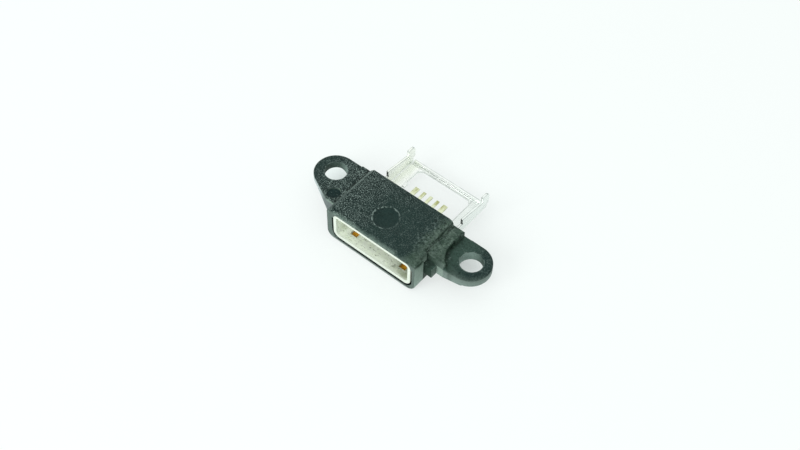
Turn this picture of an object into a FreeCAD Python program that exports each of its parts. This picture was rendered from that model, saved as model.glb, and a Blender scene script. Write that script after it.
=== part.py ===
import FreeCAD, Part
import math
import os

# Board socket for a small data and charging plug, sealed type with two screw ears.
# Millimetres. X runs along the two ears, Y from the mouth back to the solder tails, Z up.
# The origin is the centre of the mouth, in the plane of the rim.

# Mouth shell: a drawn steel tube, wide side up, with its two lower corners cut off
shell_width = 7.40
shell_height = 2.41
shell_wall = 0.27
shell_depth = 4.50
shell_top_radius = 0.45
shell_corner_cut = 0.34
shell_cut_radius = 0.50
lip_bevel = 0.02
latch_spacing = 4.70
latch_width = 0.62
latch_start = 0.70
latch_length = 1.30

# Film that seals the two latch windows from below
film_width = 6.00
film_length = 1.90
film_thickness = 0.06
film_corner = 0.24

# Moulded housing
body_left = 4.39
body_right = 4.13
back_wall = 0.62
body_length = shell_depth + back_wall
body_bottom = -1.71
body_left_radius = 0.65
body_right_radius = 0.85
crown_top = 1.46
crown_left_edge = 0.35
crown_right_edge = 0.40
shoulder_top = 1.02
snout_bevel_drop = 0.19
snout_bevel_run = 0.36
relief_gap = 0.16
relief_depth = 0.40
front_edge_radius = 0.12

# Side notch between the snout and the right-hand block: its share of the length in front of the block
block_crown_inset = 0.48
block_length = 3.46
block_lean = 0.22
block_width = 1.22
notch_inset = 0.20
notch_share = 0.385
stop_rib_width = 0.66
stop_rib_length = 0.54
stop_rib_drop = 0.06

# Left-hand shoulder beside the ear
shoulder_length = 4.19
shoulder_width = 0.81

# Screw ears
ear_spacing = 13.10
ear_hole_inset = 1.58
ear_hole_radius = 0.90
ear_radius = 1.70
ear_overhang = 0.07
left_ear_end = 8.25
right_ear_end = 8.15
left_ear_top = 0.85
left_ear_thickness = 0.62
left_root_drop = 0.52
left_root_length = 1.60
right_ear_top = 0.59
right_ear_thickness = 0.77
right_root_drop = 0.14
right_root_length = 1.60
ear_edge = 0.07
screw_relief_radius = 1.93
screw_relief_reach = 1.85

# Ejector marks left by the mould
crown_mark_x = -0.40
crown_mark_y = 2.15
crown_mark_radius = 1.03
crown_mark_depth = 0.03
ear_mark_x = -5.20
ear_mark_inset = 3.35
ear_mark_radius = 0.54
ear_mark_depth = 0.10

# Insulator: the tongue that carries the contacts, and the plug that closes the shell's back
base_thickness = 0.50
tongue_width = 3.80
tongue_thickness = 0.60
tongue_bottom = -0.10
tongue_setback = 1.25
tongue_bevel = 0.14

# Contacts
contact_pitch = 0.65
contact_width = 0.25
outer_contact_extra = 0.14
contact_thickness = 0.13
blade_proud = 0.06
blade_setback = 0.18
bend_start = 0.10
bend_length = 0.35
tail_top = -0.50
tail_length = 2.13
tail_tip_bevel = 0.05

# Rear frame: a bent strip-steel tray that carries the flexible circuit
sheet = 0.20
frame_width = 7.44
frame_floor = -0.72
frame_reach = 4.20
frame_bend = 0.10
frame_embed = 0.45
arm_top = 0.10
wall_setback = 1.08
wall_front_top = 0.62
wall_rear_top = 0.24
tab_lead = 0.60
tab_top = 0.80
tab_reach = 0.20
tab_bottom = -0.30
tab_front_radius = 0.10
tab_rear_radius = 0.35
rear_wall_top = -0.42
window_width = 5.10
window_corner = 0.35
window_rim = 0.14
corner_slit = 0.10
nib_depth = 0.20
nib_setback = 1.63
nib_length = 0.50

# Working values: lap is how far a joined form runs into its neighbour, overrun how far a cut runs past
least_radius = 0.02
tiny = 1e-4
clear = 0.1
lap = 0.3
overrun = 1.0
block_front = body_length - block_length
notch_start = block_front * (1 - notch_share)
shoulder_front = body_length - shoulder_length
ear_hole_y = body_length - ear_hole_inset
ear_back = body_length + ear_overhang
ear_centre_y = ear_back - ear_radius
hole_x = ear_spacing / 2
frame_rear = body_length + frame_reach
wall_start = body_length + wall_setback


def across(x, z):
    """A point of a section that runs along Y, at the plane of the rim."""
    return FreeCAD.Vector(x, 0, z)


def plan(x, y):
    """A point of an outline that is seen from above."""
    return FreeCAD.Vector(x, y, 0)


def side(y, z):
    """A point of an outline that is seen from the side."""
    return FreeCAD.Vector(0, y, z)


def outline(corners, place):
    """A closed wire through corners (u, v, radius), with an arc at each corner that has a radius."""
    points = [place(u, v) for u, v, radius in corners]
    starts = []
    ends = []
    arcs = []
    for i, (u, v, radius) in enumerate(corners):
        here = points[i]
        if radius <= 0:
            starts.append(here)
            ends.append(here)
            arcs.append(None)
            continue
        to_last = (points[i - 1] - here).normalize()
        to_next = (points[(i + 1) % len(points)] - here).normalize()
        half_angle = to_last.getAngle(to_next) / 2
        reach = radius / math.tan(half_angle)
        inward = (to_last + to_next).normalize()
        middle = here + inward * (radius / math.sin(half_angle) - radius)
        starts.append(here + to_last * reach)
        ends.append(here + to_next * reach)
        arcs.append(Part.Arc(starts[i], middle, ends[i]).toShape())
    edges = []
    for i, arc in enumerate(arcs):
        if arc:
            edges.append(arc)
        following = starts[(i + 1) % len(starts)]
        if (following - ends[i]).Length > tiny:
            edges.append(Part.LineSegment(ends[i], following).toShape())
    return Part.Wire(edges)


def prism(corners, place, low, high):
    """The outline pushed square to its plane, from low to high."""
    normals = {
        across: FreeCAD.Vector(0, 1, 0),
        plan: FreeCAD.Vector(0, 0, 1),
        side: FreeCAD.Vector(1, 0, 0),
    }
    normal = normals[place]
    wire = outline(corners, place)
    wire.translate(normal * low)
    return Part.Face(wire).extrude(normal * (high - low))


def box(x0, x1, y0, y1, z0, z1):
    """A block between these limits."""
    return Part.makeBox(x1 - x0, y1 - y0, z1 - z0, FreeCAD.Vector(x0, y0, z0))


def pillar(x, y, radius, low, high):
    """A round bar that stands at x and y, from low to high."""
    return Part.makeCylinder(radius, high - low, FreeCAD.Vector(x, y, low))


def mouth_corners(grow):
    """Corners of the mouth's section, offset outward by grow from the shell's outer face."""
    half_width = shell_width / 2 + grow
    half_height = shell_height / 2 + grow
    cut = shell_corner_cut + grow * (2 - math.sqrt(2))
    top_radius = max(shell_top_radius + grow, least_radius)
    cut_radius = max(shell_cut_radius + grow, least_radius)
    return [
        (-half_width, half_height, top_radius),
        (-half_width, cut - half_height, cut_radius),
        (cut - half_width, -half_height, cut_radius),
        (half_width - cut, -half_height, cut_radius),
        (half_width, cut - half_height, cut_radius),
        (half_width, half_height, top_radius),
    ]


def latch_windows(low, high):
    """The two upright openings in the shell's floor that a plug's hooks drop into."""
    windows = []
    for x in (-latch_spacing / 2, latch_spacing / 2):
        windows.append(box(x - latch_width / 2, x + latch_width / 2,
                           latch_start, latch_start + latch_length, low, high))
    return windows


def make_mouth_shell():
    """The drawn tube, with a bevelled lip that guides the plug in."""
    tube = prism(mouth_corners(0), across, 0, shell_depth)
    bore = prism(mouth_corners(-shell_wall), across, -overrun, shell_depth + overrun)
    wide = outline(mouth_corners(lip_bevel - shell_wall), across)
    narrow = outline(mouth_corners(-shell_wall), across)
    narrow.translate(FreeCAD.Vector(0, lip_bevel, 0))
    lead_in = Part.makeLoft([wide, narrow], True, True)
    floor = -shell_height / 2
    windows = latch_windows(floor - clear, floor + shell_wall + clear)
    return tube.cut([bore, lead_in] + windows)


def make_window_film():
    """The strip of film under the shell's floor, behind both latch windows."""
    top = -shell_height / 2
    start = latch_start + (latch_length - film_length) / 2
    half = film_width / 2
    corners = [
        (-half, start, film_corner),
        (half, start, film_corner),
        (half, start + film_length, film_corner),
        (-half, start + film_length, film_corner),
    ]
    return prism(corners, plan, top - film_thickness, top)


def make_contact(index):
    """A gold-plated strip: blade under the tongue, step down inside the insulator, solder tail."""
    blade_top = tongue_bottom + contact_thickness - blade_proud
    tip = tongue_setback + blade_setback
    base_front = shell_depth - base_thickness
    tail_end = body_length + tail_length
    blade_end = base_front + bend_start
    tail_start = blade_end + bend_length
    slant = math.atan2(blade_top - tail_top, tail_start - blade_end)
    shift = contact_thickness * math.tan(slant / 2)
    profile = [
        (tip, blade_top, 0),
        (tip, blade_top - contact_thickness, 0),
        (blade_end - shift, blade_top - contact_thickness, 0),
        (tail_start - shift, tail_top - contact_thickness, 0),
        (tail_end - tail_tip_bevel, tail_top - contact_thickness, 0),
        (tail_end, tail_top - contact_thickness / 2, 0),
        (tail_end - tail_tip_bevel, tail_top, 0),
        (tail_start, tail_top, 0),
        (blade_end, blade_top, 0),
    ]
    centre = (index - 2) * contact_pitch
    left = centre - contact_width / 2
    right = centre + contact_width / 2
    if index == 0:
        left -= outer_contact_extra
    if index == 4:
        right += outer_contact_extra
    return prism(profile, side, left, right)


def make_insulator(contacts):
    """The block that closes the shell's back, with the tongue in front of it."""
    base = prism(mouth_corners(-shell_wall), across, shell_depth - base_thickness, shell_depth)
    top = tongue_bottom + tongue_thickness
    profile = [
        (shell_depth - base_thickness / 2, tongue_bottom, 0),
        (tongue_setback, tongue_bottom, 0),
        (tongue_setback, top - tongue_bevel, 0),
        (tongue_setback + tongue_bevel, top, 0),
        (shell_depth - base_thickness / 2, top, 0),
    ]
    tongue = prism(profile, side, -tongue_width / 2, tongue_width / 2)
    return base.fuse(tongue).cut(contacts).removeSplitter()


def wall_outline():
    """Side view of the rear frame: low arm from the housing, sloping side wall, raised tab behind."""
    under = frame_floor - sheet
    tab_end = frame_rear + tab_reach
    return [
        (body_length - frame_embed, under, 0),
        (frame_rear, under, 0),
        (frame_rear, tab_bottom, 0),
        (tab_end, tab_bottom, tab_front_radius),
        (tab_end, tab_top, tab_rear_radius),
        (frame_rear - tab_lead, tab_top, tab_front_radius),
        (frame_rear - tab_lead, wall_rear_top, 0),
        (wall_start, wall_front_top, 0),
        (wall_start, arm_top, 0),
        (body_length - frame_embed, arm_top, 0),
    ]


def make_rear_frame():
    """The stamped tray: a channel whose back edge is turned up too, with a window for the circuit."""
    front = body_length - frame_embed
    back = frame_rear + tab_reach
    half = frame_width / 2
    under = frame_floor - sheet
    inner = half - sheet
    above = max(wall_front_top, tab_top) + overrun
    outer_bend = frame_bend + sheet
    skin = prism(
        [(-half, above, 0), (-half, under, outer_bend), (half, under, outer_bend), (half, above, 0)],
        across, front, back)
    hollow = prism(
        [(-inner, above + overrun, 0), (-inner, frame_floor, frame_bend),
         (inner, frame_floor, frame_bend), (inner, above + overrun, 0)],
        across, front - overrun, back + overrun)
    channel = skin.cut(hollow).common(prism(wall_outline(), side, -half - overrun, half + overrun))

    # The turned-up back edge is parted from the side walls by a slit at each corner
    slit_out = inner - frame_bend
    slit_in = slit_out - corner_slit
    lip_front = frame_rear - sheet - window_rim
    channel = channel.cut(box(-slit_out, slit_out, lip_front, back + overrun, under - overrun, above))
    back_edge = prism(
        [(lip_front, under, 0), (frame_rear, under, outer_bend), (frame_rear, rear_wall_top, 0),
         (frame_rear - sheet, rear_wall_top, 0), (frame_rear - sheet, frame_floor, frame_bend),
         (lip_front, frame_floor, 0)],
        side, -slit_in, slit_in)
    floor_link = box(-slit_in, slit_in, lip_front - window_corner, lip_front, under, frame_floor)
    frame = channel.fuse([back_edge, floor_link])

    # Window, open towards the housing, with cut corners at the back
    opening = window_width / 2
    window = prism(
        [(-opening, front - overrun, 0), (opening, front - overrun, 0),
         (opening, lip_front - window_corner, 0), (opening - window_corner, lip_front, 0),
         (window_corner - opening, lip_front, 0), (-opening, lip_front - window_corner, 0)],
        plan, under - clear, frame_floor + clear)
    nib_start = body_length + nib_setback
    nib = box(-opening, nib_depth - opening, nib_start, nib_start + nib_length, under, frame_floor)
    return frame.cut(window).fuse(nib).removeSplitter()


def ear_corners(sign, ear_end, root_x, root_y, inset):
    """Plan of an ear: round end, straight back edge, and a front edge tangent from the root corner."""
    centre_x = sign * (ear_end - ear_radius)
    gap_x = root_x - centre_x
    gap_y = root_y - ear_centre_y
    distance = math.hypot(gap_x, gap_y)
    towards = math.atan2(gap_y, gap_x)
    turn = math.acos(ear_radius / distance)
    tangent = towards + sign * turn
    touch = plan(centre_x + ear_radius * math.cos(tangent), ear_centre_y + ear_radius * math.sin(tangent))
    top = plan(centre_x, ear_back)
    end = plan(sign * ear_end, ear_centre_y)
    edges = [
        Part.Arc(top, end, touch).toShape(),
        Part.LineSegment(touch, plan(root_x, root_y)).toShape(),
        Part.LineSegment(plan(root_x, root_y), plan(inset, root_y)).toShape(),
        Part.LineSegment(plan(inset, root_y), plan(inset, body_length)).toShape(),
        Part.LineSegment(plan(inset, body_length), plan(root_x, body_length)).toShape(),
        Part.LineSegment(plan(root_x, body_length), plan(root_x, ear_back)).toShape(),
        Part.LineSegment(plan(root_x, ear_back), top).toShape(),
    ]
    return Part.Wire(edges)


def make_ear(sign, ear_end, root_x, root_y, inset, top, thickness):
    """One screw ear, from inside the body out to its round end, with its outer rim eased."""
    wire = ear_corners(sign, ear_end, root_x, root_y, inset)
    wire.translate(FreeCAD.Vector(0, 0, top - thickness))
    plate = Part.Face(wire).extrude(FreeCAD.Vector(0, 0, thickness))
    rims = []
    for edge in plate.Edges:
        limits = edge.BoundBox
        reach = max(sign * limits.XMin, sign * limits.XMax)
        if limits.ZLength < tiny and reach > sign * root_x + tiny:
            rims.append(edge)
    return plate.makeChamfer(ear_edge, rims)


def make_ear_root(sign, ear_end, root_x, root_y, inset, top, bottom, drop, length):
    """The thickening under an ear: deepest at the body, running out along the ear."""
    thin_end = root_x + sign * length
    wedge = prism(
        [(thin_end, bottom, 0), (root_x, bottom - drop, 0), (inset, bottom - drop, 0),
         (inset, top - ear_edge, 0), (thin_end, top - ear_edge, 0)],
        across, 0, ear_back + overrun)
    wire = ear_corners(sign, ear_end, root_x, root_y, inset)
    wire.translate(FreeCAD.Vector(0, 0, bottom - drop))
    return Part.Face(wire).extrude(FreeCAD.Vector(0, 0, top - bottom + drop)).common(wedge)


def make_left_side():
    """Shoulder strip and ear on the left."""
    ear_left = -(body_left + shoulder_width)
    inside = lap - body_left
    bottom = left_ear_top - left_ear_thickness
    ear = make_ear(-1, left_ear_end, ear_left, shoulder_front, inside, left_ear_top, left_ear_thickness)
    root = make_ear_root(-1, left_ear_end, ear_left, shoulder_front, inside, left_ear_top, bottom,
                         left_root_drop, left_root_length)
    strip = prism(
        [(ear_left, shoulder_front, 0), (inside, shoulder_front, 0),
         (inside, body_length, 0), (ear_left, body_length, 0)],
        plan, bottom - left_root_drop, shoulder_top)
    return ear.fuse([strip, root])


def make_right_side():
    """Block and ear on the right: the block leans back at its front and clears the screw's head."""
    block_right = body_right + block_width
    inside = body_right - lap
    bottom = right_ear_top - right_ear_thickness
    block_bottom = bottom - right_root_drop
    ear = make_ear(1, right_ear_end, block_right, block_front, inside, right_ear_top, right_ear_thickness)
    root = make_ear_root(1, right_ear_end, block_right, block_front, inside, right_ear_top, bottom,
                         right_root_drop, right_root_length)
    block = prism(
        [(block_front, block_bottom, 0), (body_length, block_bottom, 0), (body_length, shoulder_top, 0),
         (block_front + block_lean, shoulder_top, block_lean / 2), (block_front, right_ear_top, 0)],
        side, inside - block_crown_inset, block_right)
    head = pillar(hole_x, ear_hole_y, screw_relief_radius, right_ear_top, shoulder_top + overrun)
    slot = box(hole_x - screw_relief_reach, hole_x, ear_hole_y, body_length + overrun,
               right_ear_top, shoulder_top + overrun)
    rib = box(inside, body_right + stop_rib_width, block_front - stop_rib_length, block_front + block_lean,
              block_bottom - stop_rib_drop, right_ear_top)
    return ear.fuse([root, block.cut([head, slot]), rib])


def make_body():
    """The box round the shell: rounded below, with a crown on top that steps in beside the block."""
    waist = shoulder_top - crown_right_edge
    core = prism(
        [(-body_left, waist, 0), (-body_left, body_bottom, body_left_radius),
         (body_right, body_bottom, body_right_radius), (body_right, waist, 0)],
        across, 0, body_length)
    step = body_right - block_crown_inset
    notch = body_right - notch_inset
    crown = prism(
        [(-body_left, 0, 0), (body_right, 0, 0), (body_right, notch_start, 0), (notch, notch_start, 0),
         (notch, block_front, 0), (step, block_front + block_lean, 0), (step, body_length, 0),
         (-body_left, body_length, 0)],
        plan, waist, crown_top)
    right_rims = [edge for edge in crown.Edges
                  if edge.BoundBox.ZMin > crown_top - tiny
                  and edge.CenterOfMass.x > step - tiny]
    crown = crown.makeFillet(crown_right_edge, right_rims)
    left_rims = [edge for edge in crown.Edges
                 if edge.BoundBox.ZMin > crown_top - tiny
                 and edge.BoundBox.XMax < tiny - body_left]
    crown = crown.makeChamfer(crown_left_edge, left_rims)
    bevel = prism(
        [(-overrun, crown_top - snout_bevel_drop * (1 + overrun / snout_bevel_run), 0),
         (snout_bevel_run, crown_top, 0), (snout_bevel_run, crown_top + overrun, 0),
         (-overrun, crown_top + overrun, 0)],
        side, -body_left - overrun, body_right + overrun)
    return core.fuse(crown).cut(bevel)


def ease_front(body):
    """Rounds the upright and lower front edges of the snout."""
    rims = [edge for edge in body.Edges
            if edge.BoundBox.YMax < tiny
            and edge.CenterOfMass.z < crown_top - snout_bevel_drop - tiny]
    return body.makeFillet(front_edge_radius, rims)


def make_housing(inserts):
    """The whole moulding, formed round the shell, the film, the tails and the frame's arms."""
    body = ease_front(make_body())
    notch = box(body_right - notch_inset, body_right + overrun, notch_start, block_front + block_lean,
                right_ear_top, crown_top + overrun)
    moulding = body.cut(notch).fuse([make_left_side(), make_right_side()])

    # Room for the shell, with a relief round its sides and floor at the rim
    cavity = prism(mouth_corners(0), across, -overrun, shell_depth)
    relief = prism(mouth_corners(relief_gap), across, -overrun, relief_depth)
    roof = box(-body_left, body_right, -overrun - clear, relief_depth + clear,
               shell_height / 2 - shell_top_radius, crown_top + overrun)
    sky = crown_top + overrun
    waste = [cavity, relief.cut(roof)] + inserts
    for sign in (-1, 1):
        waste.append(pillar(sign * hole_x, ear_hole_y, ear_hole_radius, body_bottom, sky))
    waste.append(pillar(crown_mark_x, crown_mark_y, crown_mark_radius, crown_top - crown_mark_depth, sky))
    waste.append(pillar(ear_mark_x, body_length - ear_mark_inset, ear_mark_radius,
                        left_ear_top - ear_mark_depth, sky))
    return moulding.cut(waste).removeSplitter()


def main():
    os.makedirs("parts", exist_ok=True)
    contact_names = [
        "contact_power",
        "contact_data_minus",
        "contact_data_plus",
        "contact_id",
        "contact_ground",
    ]
    contacts = [make_contact(index) for index in range(len(contact_names))]
    film = make_window_film()
    frame = make_rear_frame()
    nodes = dict(zip(contact_names, contacts))
    nodes["mouth_shell"] = make_mouth_shell()
    nodes["window_film"] = film
    nodes["rear_frame"] = frame
    nodes["insulator"] = make_insulator(contacts)
    nodes["housing"] = make_housing(contacts + [film, frame])
    for name, shape in nodes.items():
        print(name, shape.isValid(), len(shape.Solids), round(shape.Volume, 4))
        shape.exportStep("parts/" + name + ".step")


main()
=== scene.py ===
import math

import bmesh
import bpy
from mathutils import Matrix, Vector


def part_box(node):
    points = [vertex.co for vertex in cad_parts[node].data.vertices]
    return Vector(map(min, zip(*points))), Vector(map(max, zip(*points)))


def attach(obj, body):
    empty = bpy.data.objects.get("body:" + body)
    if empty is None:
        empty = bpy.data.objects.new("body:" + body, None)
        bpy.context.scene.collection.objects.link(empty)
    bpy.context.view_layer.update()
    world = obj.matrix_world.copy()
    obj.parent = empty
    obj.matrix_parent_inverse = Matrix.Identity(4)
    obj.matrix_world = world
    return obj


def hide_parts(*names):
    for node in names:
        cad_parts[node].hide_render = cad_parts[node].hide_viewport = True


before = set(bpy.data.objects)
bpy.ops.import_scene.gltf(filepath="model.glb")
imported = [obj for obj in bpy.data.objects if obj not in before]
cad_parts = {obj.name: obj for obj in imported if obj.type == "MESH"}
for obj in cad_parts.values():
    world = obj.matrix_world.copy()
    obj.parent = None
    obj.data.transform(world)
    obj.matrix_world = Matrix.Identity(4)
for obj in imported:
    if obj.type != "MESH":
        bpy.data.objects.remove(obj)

# Board socket for a small data and charging plug: moulded housing with two screw ears,
# steel mouth, gold solder tails and a bent steel tray behind. Metres, same frame as the solids.

MM = 0.001
MERGE_DISTANCE = 0.0005 * MM
FLAT_ANGLE = math.radians(0.5)
EASED_ANGLE = math.radians(32)
SMOOTH_ANGLE = math.radians(40)

# Places seen from above, in millimetres to the right and back from the mouth
CROWN_MARK = (-0.40, 2.15)
EAR_MARK = (-5.20, 1.77)
EAR_HOLE = (6.55, 3.54)
UNDER_LEFT_EAR = (-7.6, 4.9)
UNDER_RIGHT_EAR = (5.6, 4.7)

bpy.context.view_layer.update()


# Building blocks for the finishes

def start_finish(name):
    """A new material with its node tree and its shader."""
    material = bpy.data.materials.new(name)
    material.use_nodes = True
    tree = material.node_tree
    return material, tree, tree.nodes["Principled BSDF"]


def join(tree, socket, value):
    """Links the socket to another one, or sets it; a colour of three numbers is made opaque."""
    if isinstance(value, bpy.types.NodeSocket):
        tree.links.new(value, socket)
    elif socket.type == "RGBA":
        socket.default_value = (*value, 1)
    else:
        socket.default_value = value


def put(tree, kind, inputs=None, **settings):
    """A node of this kind with its settings, and with its inputs set or linked."""
    node = tree.nodes.new(kind)
    for name, value in settings.items():
        setattr(node, name, value)
    for name, value in (inputs or {}).items():
        join(tree, node.inputs[name], value)
    return node


def place_in_mm(tree, stretch=(1, 1, 1)):
    """The point on the piece in millimetres, stretched along each axis."""
    point = put(tree, "ShaderNodeTexCoord").outputs["Object"]
    scale = [share / MM for share in stretch]
    return put(tree, "ShaderNodeMapping", {"Vector": point, "Scale": scale}).outputs["Vector"]


def axes(tree, vector):
    """The vector's parts to the right, to the rear and upwards."""
    parts = put(tree, "ShaderNodeSeparateXYZ", {"Vector": vector})
    return parts.outputs["X"], parts.outputs["Y"], parts.outputs["Z"]


def noise(tree, place, per_mm, detail=2.0, rough=0.5):
    """Soft noise with this many blotches in a millimetre."""
    node = put(tree, "ShaderNodeTexNoise",
               {"Vector": place, "Scale": per_mm, "Detail": detail, "Roughness": rough})
    return node.outputs["Fac"]


def spread(tree, value, low, high, to_low=0.0, to_high=1.0):
    """The value stretched from low...high to to_low...to_high, and held there outside."""
    node = put(tree, "ShaderNodeMapRange",
               {"Value": value, "From Min": low, "From Max": high, "To Min": to_low, "To Max": to_high})
    return node.outputs["Result"]


def calc(tree, operation, first, second=0.0):
    """One sum on two values."""
    node = put(tree, "ShaderNodeMath", operation=operation)
    join(tree, node.inputs[0], first)
    join(tree, node.inputs[1], second)
    return node.outputs["Value"]


def product(tree, *values):
    """All the values multiplied."""
    total = values[0]
    for value in values[1:]:
        total = calc(tree, "MULTIPLY", total, value)
    return total


def most(tree, *values):
    """The largest of the values."""
    largest = values[0]
    for value in values[1:]:
        largest = calc(tree, "MAXIMUM", largest, value)
    return largest


def within(tree, value, low, high, soft):
    """1 between low and high, falling to 0 over the soft distance outside."""
    return product(tree, spread(tree, value, low - soft, low), spread(tree, value, high + soft, high))


def distance_from(tree, x, y, centre):
    """The distance from a centre, seen from above."""
    along = calc(tree, "SUBTRACT", x, centre[0])
    deep = calc(tree, "SUBTRACT", y, centre[1])
    squares = calc(tree, "ADD", product(tree, along, along), product(tree, deep, deep))
    return calc(tree, "SQRT", squares)


def on_ring(tree, distance, radius, half_width):
    """1 at this distance, falling to 0 over the half width on both sides."""
    off_line = calc(tree, "ABSOLUTE", calc(tree, "SUBTRACT", distance, radius))
    return spread(tree, off_line, half_width, 0.0)


def blend_colours(tree, share, first, second):
    """The first colour where share is 0, the second where it is 1."""
    node = put(tree, "ShaderNodeMix", data_type="RGBA")
    join(tree, node.inputs[0], share)
    join(tree, node.inputs[6], first)
    join(tree, node.inputs[7], second)
    return node.outputs[2]


def paint_over(tree, colour, *coats):
    """The colour with each coat, given as its share and its colour, laid over it in turn."""
    for share, coat in coats:
        colour = blend_colours(tree, share, colour, coat)
    return colour


def dress(tree, shader, colour, wear, smoothest, roughest, metallic=0.0):
    """Gives the shader its colour, its share of metal and a roughness that follows the wear."""
    join(tree, shader.inputs["Base Color"], colour)
    join(tree, shader.inputs["Roughness"], spread(tree, wear, 0.3, 0.7, smoothest, roughest))
    shader.inputs["Metallic"].default_value = metallic


def bump(tree, shader, height, depth_mm, strength):
    """Raises the surface by height times depth."""
    node = put(tree, "ShaderNodeBump", {"Height": height, "Distance": depth_mm * MM, "Strength": strength})
    join(tree, shader.inputs["Normal"], node.outputs["Normal"])


# Finish of the moulding

class Spot:
    """A point on the moulding: its place in millimetres, the way its face points, and soft noises.

    The right ear's top lies at 0.59, the left ear's at 0.85, the shoulder's at 1.02, the crown's at 1.46.
    """

    def __init__(self, tree):
        self.place = place_in_mm(tree)
        self.x, self.y, self.z = axes(tree, self.place)
        self.mirrored = calc(tree, "ABSOLUTE", self.x)
        self.up_to_right_ear = spread(tree, self.z, 0.64, 0.60)
        normal = put(tree, "ShaderNodeNewGeometry").outputs["Normal"]
        self.to_right, self.to_rear, self.to_top = axes(tree, normal)
        self.upward = spread(tree, self.to_top, 0.45, 0.72)
        self.from_hole = distance_from(tree, self.mirrored, self.y, EAR_HOLE)
        self.from_mark = distance_from(tree, self.x, self.y, CROWN_MARK)
        self.from_dimple = distance_from(tree, self.x, self.y, EAR_MARK)
        self.blotches = noise(tree, self.place, 1.3, 4.0, 0.55)
        self.shift = calc(tree, "MULTIPLY", calc(tree, "SUBTRACT", self.blotches, 0.5), 1.2)
        self.mottle = spread(tree, noise(tree, self.place, 3.2, 3.0, 0.6), 0.38, 0.62)
        self.broken = spread(tree, noise(tree, self.place, 4.4, 2.0), 0.47, 0.55)

    def ragged(self, tree, value, share=1.0):
        """The value pushed to and fro by the blotches, for a border that isn't a straight line."""
        return calc(tree, "ADD", value, calc(tree, "MULTIPLY", self.shift, share))


def find_grain(tree, at):
    """How coarse the spark-eroded grain is: most at the left and rear."""
    drift = noise(tree, at.place, 0.55, 3.0)
    slant = calc(tree, "SUBTRACT", at.x, calc(tree, "MULTIPLY", at.y, 0.3))
    slant = calc(tree, "ADD", slant, calc(tree, "MULTIPLY", drift, 6.0))
    return product(tree, spread(tree, slant, -1.4, 2.2, 1.0, 0.26),
                   spread(tree, at.x, -7.6, -6.2, 0.35, 1.0))


def mix_lit_green_grey(tree, at):
    """Mottled green-grey of the crown's right edge and the block, as painted light from the right, darker at
    the front.
    """
    green = blend_colours(tree, at.mottle, (0.032, 0.060, 0.043), (0.090, 0.134, 0.104))
    front_end = product(tree, spread(tree, at.y, 2.8, 2.0), spread(tree, at.x, 3.0, 3.4), 0.35)
    return blend_colours(tree, front_end, green, (0.034, 0.058, 0.043))


def paint_top(tree, at, grain, green, haze):
    """Top faces: near black, with painted light as green-grey at the right and as paler bands on the rim and
    the right ear's front edge.
    """
    smooth = blend_colours(tree, spread(tree, at.blotches, 0.35, 0.70),
                           (0.011, 0.029, 0.026), (0.018, 0.039, 0.034))
    # Painted light: the right side of the top takes the lit green-grey
    lit_green_share = product(tree, spread(tree, at.ragged(tree, at.x), 2.75, 3.45),
                          spread(tree, at.z, 0.62, 0.70))
    # Painted highlight along the right ear's rounded front edge
    ear_edge_highlight = product(tree, spread(tree, at.from_hole, 1.25, 1.70), spread(tree, at.y, 3.7, 2.9),
                       spread(tree, at.x, 5.5, 6.2), at.up_to_right_ear, 0.6)
    # Painted light on the front rim's rounded edge, which turns towards the light
    rim_light = product(tree, spread(tree, at.ragged(tree, at.y, 0.6), 0.26, -0.02),
                       spread(tree, at.z, 1.22, 1.26), spread(tree, at.x, 3.2, 2.2, 0.25, 1.0))
    return paint_over(tree, smooth,
                      (grain, (0.007, 0.018, 0.016)),
                      (lit_green_share, green),
                      (haze, (0.036, 0.069, 0.054)),
                      (ear_edge_highlight, (0.080, 0.112, 0.096)),
                      (rim_light, (0.130, 0.182, 0.155)))


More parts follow.
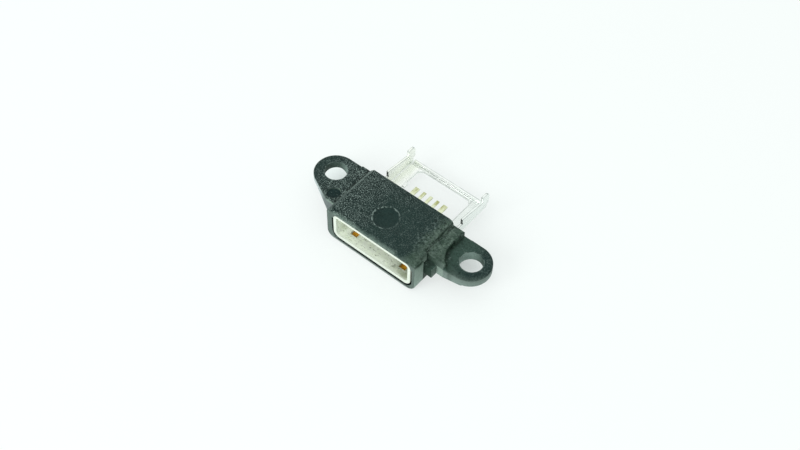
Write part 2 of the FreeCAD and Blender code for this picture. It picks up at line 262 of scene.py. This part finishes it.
def paint_walls(tree, at, green):
    """Side faces in painted light and shade: dark under the top edge, paler towards the floor, plain black
    behind and below.
    """
    # Painted light on the flanks, most towards the floor, and painted shade under the top edge
    low = spread(tree, at.ragged(tree, at.z), 1.0, -0.6)
    lit_flank = blend_colours(tree, low, (0.180, 0.245, 0.205), (0.290, 0.370, 0.325))
    shade_under_edge = spread(tree, at.ragged(tree, at.z, 0.6), 1.02, 1.26)

    # The step from the block up to the crown in the lit green-grey, with painted light over the crease's
    # shade at the front, and the block's leaning front, in painted shade at its left and painted light at its
    # right
    step = product(tree, spread(tree, at.x, 3.90, 4.00), spread(tree, at.y, 1.60, 1.75),
                   spread(tree, at.z, 0.96, 1.02))
    step_light = product(tree, step, spread(tree, at.y, 3.5, 2.6))
    step_colour = blend_colours(tree, step_light, green, (0.150, 0.210, 0.170))
    lean = product(tree, within(tree, at.y, 1.62, 1.90, 0.04), spread(tree, at.z, 0.56, 0.62),
                   spread(tree, at.x, 3.4, 3.5))
    lean_shade_and_light = blend_colours(tree, spread(tree, at.x, 4.5, 5.4),
                                (0.024, 0.048, 0.034), (0.112, 0.154, 0.131))

    # The front ring round the mouth in painted light, paler at its foot, with a dark line of painted shade
    # below the rim
    front = product(tree, spread(tree, at.y, 0.08, 0.02), spread(tree, at.to_rear, -0.5, -0.9))
    lit_front = blend_colours(tree, spread(tree, at.z, -1.40, -1.46),
                                 (0.108, 0.144, 0.127), (0.205, 0.250, 0.228))
    shade_under_rim = product(tree, within(tree, at.z, -1.46, -1.38, 0.03), spread(tree, at.mirrored, 3.80, 3.60))
    lit_front = blend_colours(tree, shade_under_rim, lit_front, (0.020, 0.028, 0.024))

    # The walls of the ears in painted light, the right one paler towards the floor, the left one brightly lit
    # and less at its root, and the walls of their holes, in painted shade on the outer side and painted light
    # on the inner side
    right_ear = spread(tree, at.x, 5.36, 5.44)
    right_ear_light = blend_colours(tree, spread(tree, at.z, 0.58, -0.10),
                                 (0.135, 0.176, 0.156), (0.190, 0.248, 0.224))
    left_ear = product(tree, spread(tree, at.to_right, -0.20, -0.40), spread(tree, at.z, 0.82, 0.60))
    left_ear_light = blend_colours(tree, spread(tree, at.x, -6.05, -5.45),
                                (0.44, 0.50, 0.51), (0.15, 0.178, 0.178))
    left_root = product(tree, spread(tree, at.x, -4.42, -4.50), spread(tree, at.y, 1.50, 1.15),
                        spread(tree, at.z, 0.82, 0.70))
    bore = spread(tree, at.from_hole, 0.98, 0.93)
    bore_shade_and_light = blend_colours(tree, spread(tree, at.mirrored, 6.95, 6.05),
                                (0.050, 0.080, 0.066), (0.200, 0.275, 0.245))

    # The back and the underside keep the moulding's own black
    hidden = most(tree, spread(tree, at.to_rear, 0.20, 0.60), spread(tree, at.to_top, -0.45, -0.80))
    hidden_colour = blend_colours(tree, at.mottle, (0.026, 0.042, 0.036), (0.052, 0.074, 0.064))

    return paint_over(tree, lit_flank,
                      (shade_under_edge, (0.018, 0.036, 0.024)),
                      (step, step_colour),
                      (right_ear, right_ear_light),
                      (front, lit_front),
                      (left_ear, left_ear_light),
                      (left_root, (0.145, 0.172, 0.172)),
                      (lean, lean_shade_and_light),
                      (hidden, hidden_colour),
                      (bore, bore_shade_and_light))


def paint_shade_in_hollows(tree, at, base):
    """Painted shade in dark places: the side notch with its rib, the hollow round the right screw with a
    painted shadow on the ear beside it, the crease by the crown.
    """
    rib_side = calc(tree, "ADD", at.x, spread(tree, at.z, 0.56, 0.64, -0.42, 0.0))
    notch = product(tree, within(tree, rib_side, 3.55, 4.34, 0.10), within(tree, at.y, 1.0, 1.70, 0.04),
                    spread(tree, at.x, 3.93, 3.97), spread(tree, at.z, 1.2, 1.0))
    reach = distance_from(tree, at.x, calc(tree, "MINIMUM", at.y, EAR_HOLE[1]), EAR_HOLE)
    crescent_shadow = product(tree, spread(tree, reach, 1.55, 1.88), spread(tree, reach, 2.02, 1.95),
                       spread(tree, at.x, 6.3, 5.2))
    crease = product(tree, within(tree, at.ragged(tree, at.x, 0.35), 3.74, 3.80, 0.06),
                     within(tree, at.y, 3.3, 4.9, 0.3), spread(tree, at.z, 0.8, 0.9), 0.85)
    hollow = blend_colours(tree, at.mottle, (0.005, 0.014, 0.009), (0.022, 0.046, 0.031))
    hollow = blend_colours(tree, notch, hollow, (0.022, 0.043, 0.032))
    return blend_colours(tree, most(tree, notch, crescent_shadow, crease), base, hollow)


def find_painted_highlights(tree, at):
    """Painted highlights as pale lines: round both ejector marks, along the crown's left edge, the block's
    edge and the holes.
    """
    crown_line = spread(tree, on_ring(tree, at.from_mark, 1.03, 0.075), 0.0, 0.6)
    crown_ring = product(tree, crown_line, at.broken, spread(tree, at.x, 0.4, -0.4, 0.25, 0.85),
                         spread(tree, at.z, 1.38, 1.41))
    dimple_ring = product(tree, on_ring(tree, at.from_dimple, 0.60, 0.07), at.broken,
                          spread(tree, at.x, -5.0, -5.3), 0.45)
    crown_edge_highlight = product(tree, within(tree, at.x, -4.40, -4.10, 0.02), within(tree, at.z, 1.10, 1.42, 0.02),
                         spread(tree, at.broken, 0.0, 1.0, 0.25, 0.62),
                         spread(tree, at.y, 1.4, 3.2, 0.40, 1.0))
    block_edge_highlight = product(tree, within(tree, at.y, 1.84, 1.92, 0.04), within(tree, at.x, 4.05, 4.35, 0.15),
                         within(tree, at.z, 0.96, 1.03, 0.02), 0.12)
    hole_rim_highlight = product(tree, within(tree, at.from_hole, 0.90, 0.94, 0.05), at.broken, at.upward, 0.40)
    return most(tree, crown_ring, dimple_ring, crown_edge_highlight, block_edge_highlight, hole_rim_highlight)


def find_wear_and_glints(tree, at, fine, grain, haze):
    """Two shares: dark pits, and pale specks as painted glints with rubbed places; both crowd between crown
    and block, where lumps carry painted shade and painted light.
    """
    lumps = noise(tree, at.place, 5.0, 3.0, 0.6)
    lumpy = product(tree, within(tree, at.ragged(tree, at.x), 2.7, 3.8, 0.5),
                    spread(tree, at.z, 0.96, 1.00), spread(tree, at.y, 0.8, 2.0))
    coarse = noise(tree, at.place, 7.5, 2.0, 0.6)
    pits = product(tree, spread(tree, coarse, 0.52, 0.64), spread(tree, at.upward, 0.0, 1.0, 0.20, 0.50))
    # Painted shade in the hollows of the lumpy strip between crown and block
    pits = most(tree, pits, product(tree, spread(tree, lumps, 0.56, 0.63), lumpy, 0.85))

    # Painted glints: pale specks where the grain catches the light
    crowd = calc(tree, "MULTIPLY", noise(tree, at.place, 2.4, 3.0, 0.6), 0.2)
    specks = product(tree, spread(tree, calc(tree, "ADD", fine, crowd), 0.635, 0.72), grain,
                     spread(tree, at.upward, 0.0, 1.0, 0.30, 1.0), spread(tree, haze, 0.0, 1.0, 1.0, 0.2))
    strokes = noise(tree, place_in_mm(tree, (3.2, 5.5, 5.5)), 1.0, 2.0, 0.6)
    rubbed = product(tree, spread(tree, strokes, 0.63, 0.70, 0.0, 0.30), at.upward,
                     spread(tree, at.from_mark, 0.90, 1.10))
    # Painted light on the raised lumps
    lit_lumps = product(tree, spread(tree, lumps, 0.44, 0.37), lumpy, 0.32)
    return pits, most(tree, specks, rubbed, lit_lumps)


def make_moulding_finish():
    """Black moulded plastic: spark-eroded grain on the top, smoother flanks made paler by painted light."""
    material, tree, shader = start_finish("grained black moulding")
    at = Spot(tree)
    green = mix_lit_green_grey(tree, at)
    grain = find_grain(tree, at)
    haze = product(tree, spread(tree, at.x, 7.0, 5.5), at.up_to_right_ear, spread(tree, at.x, 4.0, 4.2))
    top = paint_top(tree, at, grain, green, haze)
    base = paint_shade_in_hollows(tree, at, blend_colours(tree, at.upward, paint_walls(tree, at, green), top))

    # Painted shade: the slit between housing and mouth turns near black
    gap_shade = product(tree, within(tree, at.y, 0.03, 0.45, 0.02), spread(tree, at.mirrored, 3.92, 3.89),
                  within(tree, at.z, -1.39, 1.20, 0.02))
    # Darker along the foot of the crown's left side
    shoulder_line = product(tree, within(tree, at.x, -4.58, -4.46, 0.03),
                            within(tree, at.z, 1.00, 1.03, 0.02), 0.85)
    dimple = product(tree, spread(tree, at.from_dimple, 0.60, 0.50), spread(tree, at.z, 0.9, 0.86))

    # The grain fades on both ejector marks and towards the front right
    from_front_right = calc(tree, "SUBTRACT", at.y, calc(tree, "MINIMUM", at.x, 5.5))
    grain = product(tree, grain, spread(tree, at.from_mark, 0.90, 1.02, 0.15, 1.0),
                    spread(tree, from_front_right, -3.4, -1.2, 0.4, 1.0),
                    spread(tree, at.from_dimple, 0.56, 0.66, 0.05, 1.0))
    fine = noise(tree, at.place, 13.0, 2.0, 0.6)
    pits, specks = find_wear_and_glints(tree, at, fine, grain, haze)
    # Pale coat last: painted glints and painted highlights, with rubbed places
    colour = paint_over(tree, base,
                        (gap_shade, (0.002, 0.004, 0.003)),
                        (shoulder_line, (0.003, 0.009, 0.007)),
                        (dimple, (0.009, 0.024, 0.023)),
                        (pits, (0.003, 0.009, 0.007)),
                        (most(tree, specks, find_painted_highlights(tree, at)), (0.24, 0.31, 0.285)))
    dress(tree, shader, colour, at.blotches, 0.40, 0.58)
    # The slit's painted shade also takes away its reflection
    join(tree, shader.inputs["Specular IOR Level"], spread(tree, gap_shade, 0.0, 1.0, 0.09, 0.0))
    bump(tree, shader, product(tree, fine, calc(tree, "ADD", grain, 0.12)), 0.05, 0.6)
    return material


# Finishes of the other pieces

def make_shell_finish():
    """Plated drawn steel: bright at the rim, warmer and marked by small scratches inside."""
    material, tree, shader = start_finish("plated drawn steel")
    place = place_in_mm(tree)
    x, y, _ = axes(tree, place)
    lines = noise(tree, place_in_mm(tree, (14, 0.7, 14)), 1.0, 3.0)
    stains = noise(tree, place, 2.2, 5.0, 0.6)
    scratches = noise(tree, place_in_mm(tree, (2.6, 6.5, 6.5)), 1.0, 3.0, 0.6)
    fine = noise(tree, place, 8.0, 2.0, 0.6)
    inside = spread(tree, y, 0.02, 0.30)
    # Darker towards the right, with more scratches there
    dimmer = product(tree, spread(tree, x, 1.2, 2.8), spread(tree, stains, 0.20, 0.50))
    tint = blend_colours(tree, spread(tree, stains, 0.40, 0.72), (0.95, 1.0, 0.89), (0.88, 0.96, 0.78))
    tint = blend_colours(tree, dimmer, tint, (0.41, 0.46, 0.33))
    crowded = calc(tree, "ADD", scratches, calc(tree, "MULTIPLY", dimmer, 0.04))
    marks = most(tree, spread(tree, crowded, 0.60, 0.65), spread(tree, fine, 0.64, 0.70))
    colour = blend_colours(tree, inside, (0.72, 0.77, 0.68), tint)
    colour = blend_colours(tree, product(tree, marks, inside, 0.72), colour, (0.15, 0.17, 0.11))
    dress(tree, shader, colour, lines, 0.32, 0.48, metallic=0.10)
    bump(tree, shader, calc(tree, "ADD", lines, stains), 0.004, 0.4)
    return material


def find_painted_tray_lines(tree, place, to_top):
    """Painted grey reflections along the window, the bends and the walls' top edges, and painted shade in the
    right rear corner.
    """
    x, y, z = axes(tree, place)
    mirrored = calc(tree, "ABSOLUTE", x)
    on_floor = spread(tree, z, -0.60, -0.66)
    sides = product(tree, most(tree, within(tree, mirrored, 2.50, 2.60, 0.03),
                               within(tree, mirrored, 3.36, 3.46, 0.04)),
                    on_floor, spread(tree, x, -3.0, 2.0, 0.10, 0.62))
    back = product(tree, most(tree, within(tree, y, 8.96, 9.03, 0.02), within(tree, y, 9.12, 9.17, 0.03)),
                   on_floor, 0.42)
    rear_rim = product(tree, within(tree, y, 9.26, 9.34, 0.02), spread(tree, z, -0.48, -0.44),
                       spread(tree, mirrored, 3.40, 3.36), 0.50)
    side_rims = product(tree, most(tree, within(tree, mirrored, 3.50, 3.56, 0.015),
                                   within(tree, mirrored, 3.68, 3.74, 0.015)),
                        spread(tree, to_top, 0.3, 0.6), spread(tree, z, -0.1, 0.0), 0.60)
    corner = product(tree, within(tree, x, 2.5, 3.3, 0.2), within(tree, y, 8.5, 9.1, 0.25), on_floor, 0.16)
    uneven = spread(tree, noise(tree, place, 1.6, 2.0), 0.36, 0.56, 0.35, 1.0)
    return product(tree, most(tree, sides, back, rear_rim, side_rims, corner), uneven)


def find_dark_ends(tree, place):
    """Dark strokes on the front ends of both side walls, which mirror the housing, each with a foot."""
    x, y, z = axes(tree, place)
    left_or_right = most(tree, within(tree, x, -3.76, -3.62, 0.02), within(tree, x, 3.48, 3.60, 0.02))
    stroke = product(tree, left_or_right, within(tree, z, 0.12, 0.60, 0.03))
    foot = product(tree, within(tree, z, 0.10, 0.20, 0.02),
                   spread(tree, calc(tree, "ABSOLUTE", x), 3.44, 3.48))
    return product(tree, within(tree, y, 6.18, 6.24, 0.01), most(tree, stroke, foot), 0.95)


def make_tray_finish():
    """Bright stamped strip steel with a soft rolled grain, grey at its bends and cut edges as painted
    reflection.
    """
    material, tree, shader = start_finish("bright stamped steel")
    place = place_in_mm(tree)
    x, _, z = axes(tree, place)
    rolled = noise(tree, place_in_mm(tree, (0.6, 5, 5)), 1.0, 2.0)
    dimmer = noise(tree, place, 0.9, 3.0, 0.5)
    bright = blend_colours(tree, spread(tree, dimmer, 0.40, 0.70), (0.98, 1.0, 0.98), (0.90, 0.93, 0.89))

    # Bends and eased edges face none of the three main ways; they take painted grey reflections, paler at the
    # left, darker at the right and high on the walls
    facing = axes(tree, put(tree, "ShaderNodeNewGeometry").outputs["True Normal"])
    squareness = most(tree, *[calc(tree, "ABSOLUTE", way) for way in facing])
    bend_reflection = blend_colours(tree, spread(tree, x, -2.0, 1.0), (0.88, 0.92, 0.88), (0.62, 0.66, 0.63))
    edge = blend_colours(tree, spread(tree, z, -0.60, -0.30), bend_reflection, (0.36, 0.40, 0.38))

    # Darker towards the right, paler and warmer at the left
    colour = paint_over(tree, bright,
                        (spread(tree, x, 0.0, 3.0), (0.89, 0.93, 0.90)),
                        (spread(tree, x, -2.4, -3.0), (0.97, 1.0, 0.93)),
                        (spread(tree, squareness, 0.985, 0.90), edge),
                        (find_painted_tray_lines(tree, place, facing[2]), (0.26, 0.30, 0.28)),
                        (find_dark_ends(tree, place), (0.030, 0.036, 0.034)))
    dress(tree, shader, colour, rolled, 0.22, 0.32, metallic=0.65)
    bump(tree, shader, rolled, 0.001, 0.5)
    return material


def make_gold_finish():
    """Thin gold plating: worn pale in places, with a painted glint across the tails, brownish where it leaves
    the housing.
    """
    material, tree, shader = start_finish("worn gold plating")
    _, y, _ = axes(tree, place_in_mm(tree))
    worn = noise(tree, place_in_mm(tree, (4.5, 1.2, 4.5)), 1.0, 4.0, 0.6)
    along = calc(tree, "ADD", y, worn)
    plating = blend_colours(tree, spread(tree, worn, 0.40, 0.60), (0.42, 0.43, 0.18), (0.78, 0.82, 0.58))
    colour = paint_over(tree, plating,
                        # Painted glint: a pale band across the tails
                        (product(tree, within(tree, along, 6.75, 6.95, 0.30), 0.8), (0.88, 0.92, 0.72)),
                        (spread(tree, along, 6.40, 6.0), (0.58, 0.50, 0.30)))
    dress(tree, shader, colour, worn, 0.24, 0.42, metallic=1.0)
    bump(tree, shader, worn, 0.004, 0.5)
    return material


def make_film_finish():
    """Amber film, glossy, with a slight ripple."""
    material, tree, shader = start_finish("amber film")
    ripple = noise(tree, place_in_mm(tree), 2.5, 3.0)
    colour = blend_colours(tree, spread(tree, ripple, 0.35, 0.70), (0.90, 0.43, 0.032), (0.68, 0.27, 0.016))
    dress(tree, shader, colour, ripple, 0.18, 0.30)
    bump(tree, shader, ripple, 0.006, 0.4)
    return material


def make_insulator_finish():
    """Black glass-filled plastic of the tongue, nearly smooth."""
    material, tree, shader = start_finish("black tongue plastic")
    flow = noise(tree, place_in_mm(tree, (1, 5, 5)), 1.2, 4.0)
    fine = noise(tree, place_in_mm(tree), 16.0, 2.0)
    colour = blend_colours(tree, spread(tree, flow, 0.35, 0.7), (0.012, 0.014, 0.014), (0.030, 0.033, 0.032))
    dress(tree, shader, colour, flow, 0.38, 0.52)
    bump(tree, shader, calc(tree, "ADD", flow, fine), 0.006, 0.4)
    return material


# Pieces: each solid's own form, its sharp edges eased where its short edges leave room for that

def add_object(name, data):
    """A new object in the scene."""
    thing = bpy.data.objects.new(name, data)
    bpy.context.scene.collection.objects.link(thing)
    return thing


def set_down(form, name):
    """The finished form as an object with a mesh of its own."""
    mesh = bpy.data.meshes.new(name)
    form.to_mesh(mesh)
    form.free()
    return add_object(name, mesh)


def ease(node, name, finish, width_mm):
    """A copy of the solid with merged faces, small rounded edges and smooth shading between them."""
    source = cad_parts[node]
    form = bmesh.new()
    form.from_mesh(source.data)
    bmesh.ops.remove_doubles(form, verts=form.verts, dist=MERGE_DISTANCE)
    bmesh.ops.dissolve_limit(form, angle_limit=FLAT_ANGLE, verts=form.verts, edges=form.edges)
    edges = [edge for edge in form.edges
             if len(edge.link_faces) == 2 and edge.calc_face_angle() > EASED_ANGLE]
    if width_mm:
        bmesh.ops.bevel(form, geom=edges, offset=width_mm * MM, offset_type="OFFSET", segments=2,
                        profile=0.5, affect="EDGES", clamp_overlap=True, material=-1, loop_slide=True)
    for face in form.faces:
        face.smooth = True
    piece = set_down(form, name)
    piece.data.set_sharp_from_angle(angle=SMOOTH_ANGLE)
    piece.data.materials.append(finish)
    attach(piece, "root")
    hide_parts(node)


moulding_finish = make_moulding_finish()
gold_finish = make_gold_finish()
ease("housing", "moulded_housing", moulding_finish, 0.03)
ease("mouth_shell", "steel_mouth", make_shell_finish(), 0.015)
ease("rear_frame", "steel_tray", make_tray_finish(), 0.045)
ease("insulator", "contact_tongue", make_insulator_finish(), 0.02)
ease("window_film", "amber_film", make_film_finish(), 0.0)
for lead in ("power", "data_minus", "data_plus", "id", "ground"):
    ease("contact_" + lead, "lead_" + lead, gold_finish, 0.015)


# Floor, light and camera

BACKGROUND = (0.965, 0.995, 0.985)
FLOOR_HALF_WIDTH = 3.0
FLOOR_DROP = 0.01 * MM


def seen_directly(tree):
    """1 for what the camera, a reflection or a clear piece sees, 0 for what only lights the scene."""
    path = put(tree, "ShaderNodeLightPath")
    return most(tree, path.outputs["Is Camera Ray"], path.outputs["Is Glossy Ray"],
                path.outputs["Is Transmission Ray"])


def mix_shaders(tree, share, first, second, output_kind):
    """Sends the first shader, with the second mixed in by its share, to the output."""
    mix = put(tree, "ShaderNodeMixShader", {"Fac": share})
    tree.links.new(first, mix.inputs[1])
    tree.links.new(second, mix.inputs[2])
    put(tree, output_kind, {"Surface": mix.outputs["Shader"]})


def make_floor():
    """A wide pale sheet a hair below the socket that keeps its soft shadow."""
    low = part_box("housing")[0].z - FLOOR_DROP
    form = bmesh.new()
    bmesh.ops.create_grid(form, x_segments=1, y_segments=1, size=FLOOR_HALF_WIDTH)
    bmesh.ops.translate(form, verts=form.verts, vec=(0, 0, low))
    floor = set_down(form, "floor")
    material = bpy.data.materials.new("pale sheet")
    material.use_nodes = True
    tree = material.node_tree
    tree.nodes.clear()
    sheet = put(tree, "ShaderNodeBsdfDiffuse", {"Color": (0.91, 0.965, 0.955)})
    glow = put(tree, "ShaderNodeEmission", {"Color": BACKGROUND, "Strength": 1.0})

    # Painted shadow: the sheet glows less in a soft round patch by each ear
    x, y, _ = axes(tree, place_in_mm(tree))
    painted_shadows = [spread(tree, distance_from(tree, x, y, centre), 2.6, 0.6, 0.0, depth)
               for centre, depth in ((UNDER_LEFT_EAR, 0.62), (UNDER_RIGHT_EAR, 0.32))]
    share = product(tree, seen_directly(tree), calc(tree, "SUBTRACT", 0.66, most(tree, *painted_shadows)))
    mix_shaders(tree, share, sheet.outputs["BSDF"], glow.outputs["Emission"], "ShaderNodeOutputMaterial")
    floor.data.materials.append(material)


def make_sky():
    """Even cool daylight all round, white to the eye."""
    world = bpy.data.worlds.new("sky")
    bpy.context.scene.world = world
    world.use_nodes = True
    tree = world.node_tree
    tree.nodes.clear()
    light = put(tree, "ShaderNodeBackground", {"Color": (0.95, 1.0, 0.98), "Strength": 0.80})
    white = put(tree, "ShaderNodeBackground", {"Color": BACKGROUND, "Strength": 1.0})
    mix_shaders(tree, seen_directly(tree), light.outputs["Background"], white.outputs["Background"],
                "ShaderNodeOutputWorld")


def make_lamp(name, place, size, power):
    """A square soft lamp that points at the middle of the socket."""
    data = bpy.data.lights.new(name, "AREA")
    data.size = size
    data.energy = power
    lamp = add_object(name, data)
    lamp.location = place
    lamp.rotation_mode = "QUATERNION"
    middle = Vector((0, 0.003, 0))
    lamp.rotation_quaternion = (middle - Vector(place)).to_track_quat("-Z", "Y")


def make_camera():
    """The photo's viewpoint, fitted to the socket's known corners."""
    turn = math.radians(38.162)
    rise = math.radians(52.065)
    roll = math.radians(1.768)
    distance = 81.616 * MM
    slide_right = 2.131 * MM
    slide_up = 1.841 * MM
    back = Vector((math.sin(turn) * math.cos(rise), -math.cos(turn) * math.cos(rise), math.sin(rise)))
    level = Vector((math.cos(turn), math.sin(turn), 0))
    upright = back.cross(level)
    right = math.cos(roll) * level + math.sin(roll) * upright
    up = math.cos(roll) * upright - math.sin(roll) * level
    data = bpy.data.cameras.new("camera")
    data.sensor_width = 36
    data.lens = 49.898
    data.clip_start = 0.002
    data.clip_end = 10
    camera = add_object("camera", data)
    rotation = Matrix((right, up, back)).transposed()
    camera.matrix_world = Matrix.LocRotScale(
        back * distance + right * slide_right + up * slide_up, rotation, None)
    bpy.context.scene.camera = camera


make_floor()
make_sky()
make_lamp("front_softbox", (-0.04, -0.22, 0.14), 0.14, 0.34)
make_lamp("overhead_softbox", (-0.02, -0.02, 0.28), 0.16, 0.05)
make_camera()
bpy.context.scene.view_settings.view_transform = "Standard"
